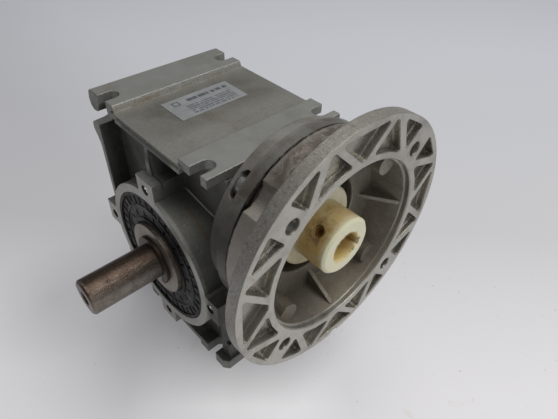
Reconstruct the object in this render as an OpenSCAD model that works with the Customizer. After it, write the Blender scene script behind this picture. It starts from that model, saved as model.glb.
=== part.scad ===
// Right-angle worm gearbox with a foot-mounted cast housing, a plug-in output
// shaft and a flange for a face-mounted electric motor.
// The origin is the centre of the near output face: the output axis runs
// along Y, the motor flange faces +X and the top rails face +Z.

/* [Gearing] */
// distance between the worm axis and the output axis
centre_d = 54; // [54:0.5:55]
// module of the worm and wheel
gear_m = 2.1; // [2.0:0.05:2.1]
// number of teeth on the wheel
wheel_z = 40; // [40:1:40]
// width of the bronze rim
wheel_w = 24; // [20:1:26]

/* [Output shaft] */
// diameter of the plug-in output shaft
shaft_d = 25; // [24:0.5:26]
// length of the shaft beyond the output face
shaft_out = 53.5; // [40:0.5:80]
// outer diameter of the hollow shaft at its ends
hollow_d = 53; // [50:0.5:53.5]

/* [Motor flange] */
// outer diameter of the motor flange
flange_d = 160; // [158:1:166]
// diameter of the locating recess
pilot_d = 110; // [108:0.5:112]
// pitch circle of the motor bolts
bolt_pcd = 130; // [128:0.5:134]
// diameter of the motor bolt holes
bolt_d = 9; // [8:0.5:10]
// distance from the output axis to the flange face
flange_x = 111; // [110:0.5:118]
// diameter of the coupling's bore for the motor shaft
motor_shaft_d = 19; // [14:1:20]

/* [Housing] */
// distance from the middle plane to each output face
half_w = 60; // [60:0.5:64]
// height of the output axis above the feet
foot_h = 95; // [95:0.5:98]
// height of the top rails above the output axis
top_h = 94; // [94:0.5:97]
// width of the open slots in the rails
slot_w = 10; // [8:0.5:10.5]

/* [Colours] */
// cast aluminium
c_cast = "#8b8a82"; // ["#8b8a82", "#9a9a92", "#77766f"]
// bronze
c_bronze = "#a8752f"; // ["#a8752f", "#b5832f"]
// ground steel
c_steel = "#8d8c8a"; // ["#8d8c8a", "#a0a0a0"]
// oxidised shaft steel
c_dark = "#4a3d33"; // ["#4a3d33", "#3a3330"]
// black rubber
c_rubber = "#2b2c2c"; // ["#2b2c2c", "#1f1f1f"]
// cream polyamide
c_nylon = "#cfc39a"; // ["#cfc39a", "#e0d8b8"]

/* [Hidden] */
$fn = 96;
wz = centre_d;                    // height of the worm axis
rp_wheel = gear_m * wheel_z / 2;  // pitch radius of the wheel
rp_worm = centre_d - rp_wheel;    // pitch radius of the worm
starts = 2;
lead = starts * PI * gear_m;      // advance of the thread per turn
lead_angle = atan(lead / (2 * PI * rp_worm));
ear_r = 59;                       // radius of the threaded holes in an output face
ear_out = 67;                     // radius to the top of an ear
ring_r = 55.3;                    // radius of the output ring
cap_r = 49.2;                     // radius of the black end cap
seat_r = 45;                      // radius of the output bearing seat
core_y = 37;                      // half width of the gear case's core
rim_t = 7.5;                      // thickness of the flange plate
pocket_t = 4.5;                   // depth of the weight-saving pockets
joint_x = 79.5;                   // plane where the adapter meets the housing
gap = 0.9;                        // thickness of the joint between housing and adapter
bolt_r = 50.4;                      // radius of the adapter screws
top_z = top_h;
bot_z = -foot_h;
l0 = -73.6; l1 = -43.4;           // left rails, from and to
r0 = 28.4; r1 = 53.7;             // right top rail, from and to
q0 = 20.5;                        // right bottom rail starts here
top_y = 51;                       // half length of the top rails
bot_y = 48;                       // half length of the bottom rails
shaft_r = shaft_d / 2;
hollow_r = hollow_d / 2;
seat_d = shaft_d + 0.6;            // the shaft is thicker inside the hollow shaft

// ---- helpers -------------------------------------------------------------
// moves the middle plane so that the near output face is at the origin
module mid() translate([0, half_w, 0]) children();
// cylinder along Y from y0 to y1 about the output axis
module cy(y0, y1, r) translate([0, y1, 0]) rotate([90, 0, 0]) cylinder(h = y1 - y0, r = r);
// tube along Y
module ty(y0, y1, ro, ri) difference() { cy(y0, y1, ro); cy(y0 - 1, y1 + 1, ri); }
// cylinder along X from x0 to x1 about the worm axis
module cx(x0, x1, r) translate([x0, 0, wz]) rotate([0, 90, 0]) cylinder(h = x1 - x0, r = r);
// cone along X about the worm axis
module kx(x0, x1, ra, rb) translate([x0, 0, wz]) rotate([0, 90, 0]) cylinder(h = x1 - x0, r1 = ra, r2 = rb);
module tx(x0, x1, ro, ri) difference() { cx(x0, x1, ro); cx(x0 - 1, x1 + 1, ri); }
// box from one corner to the other
module bx(a, b) translate(a) cube(b - a);
// places children at an angle around the worm axis, radius r, working along X
module around_x(r, angles) for (a = angles) translate([0, 0, wz]) rotate([a, 0, 0]) translate([0, r, 0]) children();
// places children on both sides of the middle plane
module both_y() { children(); mirror([0, 1, 0]) children(); }
module both_z() { children(); mirror([0, 0, 1]) children(); }

// ---- housing -------------------------------------------------------------
// one rail along Y with its open slots at both ends
module rail(x0, x1, z0, z1, ye, xs) difference() {
  bx([x0, -ye, z0], [x1, ye, z1]);
  for (s = [-1, 1]) {
    translate([xs, s * (ye - 13 + slot_w / 2), z0 - 1]) cylinder(h = z1 - z0 + 2, r = slot_w / 2);
    translate([xs - slot_w / 2, s > 0 ? ye - 13 + slot_w / 2 : -ye - 1, z0 - 1])
      cube([slot_w, 14 - slot_w / 2, z1 - z0 + 2]);
  }
}

// one ear of an output face and the bar behind it, at twelve o'clock
module ear(y_in) bx([-8.5, -half_w, 50], [9.5, y_in, ear_out]);

module output_face_side() {
  cy(-half_w, -20, ring_r);
  for (a = [0, 90, 180, 270]) rotate([0, a, 0]) ear(-core_y + 14);
}

// section along Y through a top rail, its lug, the sloping web and half of
// the rear wall
left_section = [[-38, 86], [-38, 90], [-41.4, 90], [-43.4, 94], [-72, 94], [-74.6, 92], [-76.2, 86.5],
  [-75.4, 81.5], [-72.5, 79.2], [-67.5, 79.8], [-64.5, 83], [-62.5, 87], [-60.5, 88.2], [-54.5, 88.2],
  [-51.6, 86.8], [-51.2, 85.2], [-57, 81], [-78.5, 67.6], [-81, 65.4], [-81.3, 60.5], [-78.2, 55.5],
  [-76.2, 51], [-75.6, 46], [-75.6, -0.6], [-71.2, -0.6], [-71.2, 66.4], [-69.6, 68.6], [-47.6, 82.2], [-44.6, 85.6]];
key_a = -100;                     // direction of the motor keyway, from +Z
slot_x = -56.5;                   // middle of the slots in the left rails
module left_frame(ye) difference() {
  translate([0, ye, 0]) rotate([90, 0, 0]) linear_extrude(2 * ye) polygon(left_section);
  for (s = [-1, 1]) {
    translate([slot_x, s * (ye - 7), 85.4]) cylinder(h = 12, r = slot_w / 2);
    translate([slot_x - slot_w / 2, s > 0 ? ye - 7 : -ye - 1, 85.4]) cube([slot_w, 8, 12]);
  }
}

module housing_solid() {
  cy(-half_w, half_w, ring_r);
  both_y() for (a = [0, 90, 180, 270]) rotate([0, a, 0]) ear(-core_y + 14);
  // case round the wheel and the worm
  bx([-71.3, -core_y, -88], [48, core_y, 10]);
  bx([-71.3, -core_y, 9], [0, core_y, 87]);
  intersection() {
    union() { translate([0, 0, 8]) cx(-62, 58, 37.8); bx([-62, -37.8, wz + 8], [58, 37.8, 87]); }
    bx([-62, -40, 0], [60, 40, 87]);
  }
  // rear wall with its lugs, the webs and the left rails
  left_frame(top_y);
  translate([0, 0, -1]) mirror([0, 0, 1]) left_frame(bot_y);
  // wall towards the motor
  bx([43, -core_y, -10], [49, core_y, 87]);
  bx([42.7, -42.5, -86], [51.4, 42.5, -5]);
  // top plate with a stepped edge and the right rail
  bx([-45, -52, 86.2], [31, 52, 90]);
  bx([-38, -53, 85.6], [31, 53, 88]);
  rail(r0, r1, 88, top_z, top_y, 43.5);
  bx([31, -36, 84], [r1, 36, 89]);
  // bottom plate and the right foot rail with chamfered corners
  bx([-45, -47.5, -92], [41, 47.5, -87]);
  along_z(bot_z, -84.5) polygon([[q0, -bot_y], [r1 - 4.1, -bot_y], [r1, -bot_y + 3.2], [r1, bot_y - 3.2], [r1 - 4.1, bot_y], [q0, bot_y]]);
  // upright ribs in the side pockets
  both_y() hull() { bx([-8.2, -51.3, 85], [-4.6, -36, 88]); bx([-2, -56, 60], [2, -36, 62]); }
  both_y() bx([-8, -45, -88], [-4.5, -36, -60]);
  // neck, band and flange for the motor adapter
  intersection() {
    cx(49.5, 72, 42);
    union() { bx([49, -60, 0], [r1, 60, 88.5]); bx([r1 - 0.01, -60, 0], [73, 60, 120]); }
  }
  cx(62, 72, 57.6);
  cx(71.5, joint_x, 60.8);
  // boss for the rear worm bearing
  cx(-79, -60, 34);
}
// extrusions of an outline drawn in plan, and in the plane across the motor axis
module along_z(za, zb) translate([0, 0, za]) linear_extrude(zb - za) children();
module along_x(xa, xb) translate([xa, 0, 0]) rotate([90, 0, 90]) linear_extrude(xb - xa) children();

module housing_cuts() {
  // seats of the output side, machined from both faces
  cy(-half_w - 1, -half_w + 7.6, cap_r + 0.1);
  cy(-half_w + 7, -34.5, seat_r);
  cy(-35, -31, 41);
  cy(-31.5, 31, 47.5);
  cy(30.5, half_w + 1, cap_r + 0.1);
  // hollow of the case round the worm and below the wheel
  bx([-44, -24, 10], [40, 24, 78]);
  bx([-60, -30, -80], [37, 30, 0]);
  bx([-60, -30, -10], [-50, 30, 20]);
  cx(-47.5, 44.5, 25);
  // bores of the worm bearings
  cx(-82, -46.5, 26.01);
  cx(-65.9, -64.1, 27.4);
  cx(44, joint_x + 1, 26.01);
  cx(59.1, 60.9, 27.4);
  cx(72.5, joint_x + 1, 36);
  // screws of the motor adapter: holes, and open pockets for the heads
  around_x(bolt_r, [45, 135, 225, 315]) {
    translate([60, 0, 0]) rotate([0, 90, 0]) cylinder(h = 22, r = 4.5);
    translate([54, 0, 0]) rotate([0, 90, 0]) cylinder(h = 11, r = 6.7);
    translate([64.6, 0, 0]) rotate([0, 90, 0]) cylinder(h = 6.9, r = 9);
    bx([64.95, 0, -5.6], [71.15, 14, 5.6]);
    for (s = [-1, 1]) translate([68.05, 0, s * 5.6]) rotate([-90, 0, 0]) cylinder(h = 14, r = 3.1);
  }
  // threaded holes in the ears
  for (s = [-1, 1]) for (a = [0, 90, 180, 270]) rotate([0, a, 0])
    translate([0, s > 0 ? half_w + 1 : -half_w + 18, ear_r]) rotate([90, 0, 0]) cylinder(h = 19, r = s > 0 ? 3.55 : 3.4);
  // slots of the right feet, through the plate too
  for (s = [-1, 1]) {
    translate([35.5, s * (bot_y - 13 + slot_w / 2), bot_z - 1]) cylinder(h = 14, r = slot_w / 2);
    translate([35.5 - slot_w / 2, s > 0 ? bot_y - 13 + slot_w / 2 : -bot_y - 1, bot_z - 1]) cube([slot_w, 14 - slot_w / 2, 14]);
  }
  // small pocket cast into the edge of the motor wall
  both_y() bx([48.6, -43, -68], [52, -40.2, -62]);
}

module housing() color(c_cast) mid() difference() { housing_solid(); housing_cuts(); }

// ---- output side ---------------------------------------------------------
module bearing_carrier() color(c_cast) mid() difference() {
  cy(31.2, half_w - 7.6, cap_r);
  cy(34.5, half_w, seat_r);
  cy(31, 35, 41);
}

module cap_shape() difference() {
  union() {
    cy(-half_w + 1.2, -half_w + 7.4, cap_r);
    ty(-half_w + 0.3, -half_w + 2, cap_r, cap_r - 2.2);
    ty(-half_w + 0.7, -half_w + 2, 40.2, 38.6);
    ty(-half_w + 0.4, -half_w + 2, 30.4, 27.5);
    // raised bars between the cells
    for (i = [0:17]) rotate([0, i * 20 + 2, 0]) bx([39, -half_w + 0.7, -0.7], [47.5, -half_w + 2, 0.7]);
  }
  cy(-half_w - 1, -half_w + 9, hollow_r + 0.45);
  // short slots in two rings
  for (i = [0:17]) rotate([0, i * 20 - 8, 0]) {
    bx([41.4, -half_w - 1, -1.1], [45.9, -half_w + 2.4, 1.1]);
    bx([31.8, -half_w - 1, -0.9], [35.8, -half_w + 2.2, 0.9]);
  }
}
module end_caps() color(c_rubber) mid() both_y() cap_shape();

module output_bearing_outer() color(c_steel) mid() both_y() difference() {
  cy(-half_w + 7.6, -34.5, seat_r);
  cy(-half_w, -34, 39.5);
  translate([0, -43.45, 0]) rotate([90, 0, 0]) rotate_extrude() translate([36.25, 0]) circle(r = 5.6);
}
module output_bearing_inner() color(c_steel) mid() both_y() difference() {
  cy(-half_w + 7.6, -34.5, 33);
  cy(-half_w, -34, 27.5);
  translate([0, -43.45, 0]) rotate([90, 0, 0]) rotate_extrude() translate([36.25, 0]) circle(r = 5.6);
}
module output_balls() color("#c8c8c8") mid() both_y() for (i = [0:11])
  rotate([0, i * 30, 0]) translate([36.25, -43.45, 0]) sphere(r = 5.5, $fn = 48);
module output_cages() color(c_bronze) mid() both_y() difference() {
  ty(-50.65, -36.25, 37.5, 35);
  for (i = [0:11]) rotate([0, i * 30, 0]) translate([30, -43.45, 0]) rotate([0, 90, 0]) cylinder(h = 12, r = 5.8);
}

module hollow_shaft() color("#b3a79f") mid() difference() {
  union() {
    cy(-half_w - 2.3, half_w + 2.3, hollow_r);
    cy(-half_w + 7.6, half_w - 7.6, 27.49);
  }
  cy(-half_w - 3, half_w + 3, seat_d / 2 + 0.02);
  bx([-4.05, -half_w - 3, -16], [4.05, half_w + 3, 0]);
  bx([-4, -12, 22.5], [4, 12, 30]);
}
module wheel_hub() color("#5e5d5b") mid() difference() {
  union() {
    cy(-wheel_w / 2, wheel_w / 2, 34);
    cy(-30, 30, 31.5);
  }
  cy(-31, 31, 27.52);
  bx([-4, -12, 25], [4, 12, 30]);
}
module wheel_key() color(c_steel) mid() bx([-3.98, -11.9, 22.6], [3.98, 11.9, 29.9]);

// one tooth of the wheel at twelve o'clock, leaning with the worm's thread
module wheel_tooth() rotate([0, 0, -lead_angle]) translate([0, wheel_w / 2 + 0.4, 0]) rotate([90, 0, 0])
  linear_extrude(wheel_w + 0.8)
    polygon([[-2.0, rp_wheel - 4], [-1.95, rp_wheel - 2.3], [-1.3, rp_wheel], [-0.75, rp_wheel + 1.9],
             [0.75, rp_wheel + 1.9], [1.3, rp_wheel], [1.95, rp_wheel - 2.3], [2.0, rp_wheel - 4]]);
module worm_wheel() color(c_bronze) mid() difference() {
  union() {
    cy(-wheel_w / 2, wheel_w / 2, rp_wheel - 2.5);
    intersection() {
      union() for (i = [0:wheel_z - 1]) rotate([0, i * 360 / wheel_z, 0]) wheel_tooth();
      cy(-wheel_w / 2, wheel_w / 2, rp_wheel + 3);
    }
  }
  cy(-wheel_w, wheel_w, 34.02);
}

module output_shaft() color(c_dark) mid() difference() {
  union() {
    cy(-half_w - shaft_out + 1.2, 0, shaft_r);
    cy(-half_w - 2.35, half_w + 6.5, seat_d / 2);
    translate([0, -half_w - shaft_out + 1.2, 0]) rotate([90, 0, 0]) cylinder(h = 1.2, r1 = shaft_r, r2 = shaft_r - 1.2);
  }
  // grooves of the two snap rings
  both_y() ty(-half_w - 4.6, -half_w - 2.35, 20, shaft_r - 0.6);
  // centre hole in the free end
  translate([0, -half_w - shaft_out - 0.01, 0]) rotate([-90, 0, 0]) cylinder(h = 4, r1 = 5.2, r2 = 3.3);
  translate([0, -half_w - shaft_out - 0.01, 0]) rotate([-90, 0, 0]) cylinder(h = 18, r = 3.3);
  // keyway inside the hollow shaft
  bx([-4.02, -50, -20], [4.02, 50, -8.5]);
}
module output_key() color(c_steel) mid() bx([-4, -49.9, -15.9], [4, 49.9, -8.6]);

// snap rings at the ends of the hollow shaft, open at the bottom, with an
// eye for the pliers on each tip
module snap_ring() difference() {
  union() {
    ty(-half_w - 4.5, -half_w - 2.5, 17.6, shaft_r - 0.5);
    for (a = [-38, 38]) rotate([0, a, 0]) translate([0, -half_w - 2.5, -15.6]) rotate([90, 0, 0]) cylinder(h = 2, r = 3.1);
  }
  cy(-half_w - 5, -half_w - 2, shaft_r - 0.5);
  translate([0, -half_w - 1, 0]) rotate([90, 0, 0]) linear_extrude(8)
    polygon([[0, 0], [-16, -24], [16, -24]]);
  for (a = [-38, 38]) rotate([0, a, 0]) translate([0, -half_w - 1, -15.9]) rotate([90, 0, 0]) cylinder(h = 5, r = 1.1);
}
module shaft_circlips() color("#57463a") mid() both_y() snap_ring();

// ---- worm side -----------------------------------------------------------
// cross-section of the two-start thread, one flank ramp per side
function thread_r(t) = let (u = abs(((t / 180) % 1) * 2 - 1))
  u < 0.36 ? rp_worm + gear_m * 0.95 : u < 0.74 ? rp_worm + gear_m * 0.95 - (u - 0.36) / 0.38 * gear_m * 2.05 : rp_worm - gear_m * 1.1;
thread_pts = [for (t = [0:15:345]) [thread_r(t) * cos(t), thread_r(t) * sin(t)]];
worm_l = 50;

module worm_shaft() color(c_steel) mid() {
  translate([-worm_l / 2, 0, wz]) rotate([0, 90, 0]) rotate([0, 0, worm_phase])
    linear_extrude(worm_l, twist = -360 * worm_l / lead, slices = 76, $fn = 24) polygon(thread_pts);
  cx(-46, -worm_l / 2, 12);
  cx(-65, -46, 10);
  cx(worm_l / 2, 43.8, 15);
  difference() {
    union() {
      cx(43.8, 70, 12.5);
      cx(70, 83, 10);
    }
    bx([72, -3.02, wz + 6.5], [86, 3.02, wz + 14]);
  }
}
// turns a gap of the thread down to the tooth at twelve o'clock
worm_phase = -180 * worm_l / lead;

module wb_race(x0) translate([x0, 0, wz]) rotate([0, 90, 0]) rotate_extrude() translate([19.25, 0]) circle(r = 4.1);
module worm_bearing_outer() color(c_steel) mid() for (x = [-63.5, 44]) difference() {
  cx(x, x + 15, 25.98);
  cx(x - 1, x + 16, 22);
  wb_race(x + 7.5);
}
module worm_bearing_inner() color(c_steel) mid() for (q = [[-63.5, 10.02], [44, 12.52]]) difference() {
  cx(q[0], q[0] + 15, 16.5);
  cx(q[0] - 1, q[0] + 16, q[1]);
  wb_race(q[0] + 7.5);
}
module worm_balls() color("#c8c8c8") mid() for (x = [-56, 51.5]) around_x(19.25, [0:40:320]) translate([x, 0, 0]) sphere(r = 4, $fn = 48);
module worm_cages() color(c_bronze) mid() for (x = [-56, 51.5]) difference() {
  tx(x - 5.9, x + 5.9, 20.3, 18.2);
  around_x(14, [0:40:320]) translate([x, 0, 0]) rotate([-90, 0, 0]) cylinder(h = 10, r = 4.25);
}
module bearing_circlips() color(c_dark) mid() for (x = [-65.8, 59.2]) difference() {
  tx(x, x + 1.6, 27.3, 23);
  bx([x - 1, -4, wz + 15], [x + 3, 4, wz + 30]);
}
module input_seal() color(c_rubber) mid() difference() {
  cx(62, 70, 25.99);
  cx(61, 71, 12.9);
  tx(68, 71, 22, 16);
}
module rear_cap() color(c_rubber) mid() difference() {
  cx(-75, -67, 25.99);
  cx(-78, -73, 22.5);
}

// hub on the worm shaft with six dogs
module coupling_driver() color(c_steel) mid() difference() {
  union() {
    cx(71.5, 84, 17);
    around_x(0, [0:60:300]) bx([73, 14, -3.4], [84, 22, 3.4]);
  }
  cx(71, 85, 10.02);
  bx([71, -3.05, wz + 9], [85, 3.05, wz + 13.2]);
}
module driver_key() color(c_steel) mid() bx([72.2, -3, wz + 6.6], [83.1, 3, wz + 13.1]);

// polyamide sleeve that slides onto the motor shaft
module coupling() color(c_nylon) mid() difference() {
  union() {
    cx(73, 86.4, 26.7);
    kx(86.4, 87.2, 26.7, 25.9);
    cx(87, 107.9, 18.4);
    kx(107.9, 109.4, 18.4, 16.9);
  }
  // chambered mouth and keyed bore
  cx(84, 112, motor_shaft_d / 2);
  kx(108.8, 109.5, motor_shaft_d / 2, motor_shaft_d / 2 + 0.5);
  translate([0, 0, wz]) rotate([key_a, 0, 0]) bx([84, -3, 0], [112, 3, motor_shaft_d / 2 + 2.7]);
  // dog chamber at the back
  cx(72, 84.3, 17.3);
  around_x(0, [0:60:300]) bx([72, 14, -3.7], [84.3, 22.4, 3.7]);
  // radial hole of the set screw
  around_x(0, [135]) translate([98.8, 0, 0]) rotate([-90, 0, 0]) cylinder(h = 30, r = 3.05);
  around_x(0, [135]) translate([98.8, 16, 0]) rotate([-90, 0, 0]) cylinder(h = 10, r = 3.8);
}
module coupling_set_screw() color(c_dark) mid() around_x(0, [135]) translate([98.8, 0, 0]) difference() {
  translate([0, 9.9, 0]) rotate([-90, 0, 0]) cylinder(h = 4.5, r = 3);
  translate([0, 12, 0]) rotate([-90, 0, 0]) cylinder(h = 4, r = 1.7, $fn = 6);
}

// ---- motor adapter -------------------------------------------------------
module adapter_gasket() color(c_rubber) mid() difference() {
  tx(joint_x + 0.02, joint_x + gap - 0.02, 57, 36.5);
  around_x(bolt_r, [45, 135, 225, 315]) translate([joint_x - 1, 0, 0]) rotate([0, 90, 0]) cylinder(h = 3, r = 4.6);
}

// the five pockets of one quarter of the flange, symmetric about Y
module pockets_2d() {
  polygon([[75.6, -16.6], [75.6, 16.6], [74.8, 17.6], [59.2, 1.8], [59.2, -1.8], [74.8, -17.6]]);
  for (s = [-1, 1]) {
    polygon([[59.4, s * 7.4], [73.6, s * 21.8], [72.9, s * 24.2], [51.6, s * 31.2], [51.2, s * 29.8], [56, s * 19.6], [58.9, s * 8.6]]);
    polygon([[70.6, s * 30.2], [70.2, s * 32], [60.6, s * 47.6], [58.8, s * 47.6], [50.6, s * 38.2], [50.4, s * 36.4]]);
  }
}
module pockets(x0) for (a = [0, 90, 180, 270]) translate([x0, 0, wz]) rotate([a, 0, 0]) rotate([90, 0, 90])
  linear_extrude(20) offset(r = 1.5, $fn = 20) offset(delta = -1.5) pockets_2d();

module motor_adapter() color(c_cast) mid() difference() {
  union() {
    cx(flange_x - rim_t, flange_x, flange_d / 2);
    cx(joint_x + gap, flange_x - rim_t + 0.1, 61.5);
    kx(joint_x + 16.6, flange_x - rim_t + 0.1, 61.5, 68.8);
  }
  // locating recess and bowl
  cx(flange_x - 4, flange_x + 1, pilot_d / 2);
  kx(flange_x - 0.6, flange_x + 0.01, pilot_d / 2, pilot_d / 2 + 0.6);
  difference() {
    kx(85, flange_x - 3.9, 50.5, 54);
    // bosses of the adapter screws
    around_x(bolt_r, [45, 135, 225, 315]) translate([84, 0, 0]) rotate([0, 90, 0]) cylinder(h = 18.6, r = 6.5);
    // thin triangular ribs from the floor to the recess
    for (a = [0, 90, 180, 270]) translate([0, 0, wz]) rotate([a, 0, 0]) translate([0, 0, -1.4])
      linear_extrude(2.8) polygon([[84, 39], [84, 56], [flange_x - 5, 56], [flange_x - 5, 53.2]]);
  }
  cx(joint_x, 90, 33.5);
  kx(85.4 - 1.2, 85.4, 33.5, 34.7);
  // motor bolts
  around_x(bolt_pcd / 2, [45, 135, 225, 315]) translate([flange_x - rim_t - 1, 0, 0]) rotate([0, 90, 0]) cylinder(h = rim_t + 2, r = bolt_d / 2);
  // threads of the adapter screws, blind
  around_x(bolt_r, [45, 135, 225, 315]) translate([joint_x, 0, 0]) rotate([0, 90, 0]) cylinder(h = 19, r = 4.02);
  // hollows along the neck for the nuts of the motor bolts
  around_x(68.2, [45, 135, 225, 315]) translate([joint_x - 1, 0, 0]) rotate([0, 90, 0]) cylinder(h = flange_x - rim_t - joint_x + 1.3, r = 11.7);
  // pockets in the face and the drain notch at the bottom
  pockets(flange_x - pocket_t);
  translate([flange_x - pocket_t, 0, wz - 81.5]) rotate([0, 90, 0]) cylinder(h = 10, r = 4);
}

module adapter_bolts() color("#9c9c98") mid() around_x(bolt_r, [45, 135, 225, 315]) difference() {
  union() {
    translate([62.4, 0, 0]) rotate([0, 90, 0]) cylinder(h = 7.6, r = 6.5);
    translate([70, 0, 0]) rotate([0, 90, 0]) cylinder(h = 27, r = 4);
  }
  translate([62, 0, 0]) rotate([0, 90, 0]) cylinder(h = 4.4, r = 3.4, $fn = 6);
}
module adapter_washers() color("#9c9c98") mid() around_x(bolt_r, [45, 135, 225, 315]) difference() {
  translate([70.02, 0, 0]) rotate([0, 90, 0]) cylinder(h = 1.44, r = 8);
  translate([69, 0, 0]) rotate([0, 90, 0]) cylinder(h = 4, r = 4.2);
}

// rating plate without any wording
module label() color("#b9bcc2") mid() bx([-31.7, -24, 90.01], [-6.5, 27.5, 90.31]);

housing();
bearing_carrier();
end_caps();
output_bearing_outer();
output_bearing_inner();
output_balls();
output_cages();
hollow_shaft();
wheel_hub();
worm_wheel();
wheel_key();
output_shaft();
output_key();
shaft_circlips();
worm_shaft();
worm_bearing_outer();
worm_bearing_inner();
worm_balls();
worm_cages();
bearing_circlips();
input_seal();
rear_cap();
coupling_driver();
driver_key();
coupling();
coupling_set_screw();
adapter_gasket();
motor_adapter();
adapter_bolts();
adapter_washers();
label();
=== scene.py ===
import bpy, bmesh, math
from mathutils import Matrix, Vector


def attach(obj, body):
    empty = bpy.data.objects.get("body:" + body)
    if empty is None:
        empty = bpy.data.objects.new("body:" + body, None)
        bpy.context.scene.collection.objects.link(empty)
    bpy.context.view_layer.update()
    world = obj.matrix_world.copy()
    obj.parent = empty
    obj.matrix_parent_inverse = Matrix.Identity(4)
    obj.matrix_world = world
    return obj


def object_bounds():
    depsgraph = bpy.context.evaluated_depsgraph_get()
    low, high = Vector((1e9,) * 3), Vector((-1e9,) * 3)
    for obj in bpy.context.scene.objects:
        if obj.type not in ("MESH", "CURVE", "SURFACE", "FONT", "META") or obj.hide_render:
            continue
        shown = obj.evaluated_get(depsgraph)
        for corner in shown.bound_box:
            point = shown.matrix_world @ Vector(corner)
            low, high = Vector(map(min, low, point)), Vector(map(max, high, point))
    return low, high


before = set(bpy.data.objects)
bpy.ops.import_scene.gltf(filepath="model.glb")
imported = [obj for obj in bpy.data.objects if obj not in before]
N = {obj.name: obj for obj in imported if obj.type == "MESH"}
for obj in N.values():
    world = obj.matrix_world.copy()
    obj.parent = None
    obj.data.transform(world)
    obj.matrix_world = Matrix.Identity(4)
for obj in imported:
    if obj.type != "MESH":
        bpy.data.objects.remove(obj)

CAD_BOX = [list(v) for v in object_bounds()]

# ------------------------------------------------------------------ camera
cam_data = bpy.data.cameras.new("camera")
cam_data.sensor_width = 36.0
cam_data.lens = 30.55
cam_data.clip_start = 0.01
cam_data.clip_end = 50.0
cam = bpy.data.objects.new("camera", cam_data)
bpy.context.scene.collection.objects.link(cam)
fwd = Vector((-0.53186, 0.52297, -0.66605)).normalized()
right = Vector((0.68153, 0.73118, 0.02989))
right = (right - fwd * right.dot(fwd)).normalized()
up = right.cross(fwd).normalized()
rot = Matrix((right, up, -fwd)).transposed().to_4x4()
cam.matrix_world = Matrix.Translation((0.2133, -0.0954, 0.2435)) @ rot
bpy.context.scene.camera = cam


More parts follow.
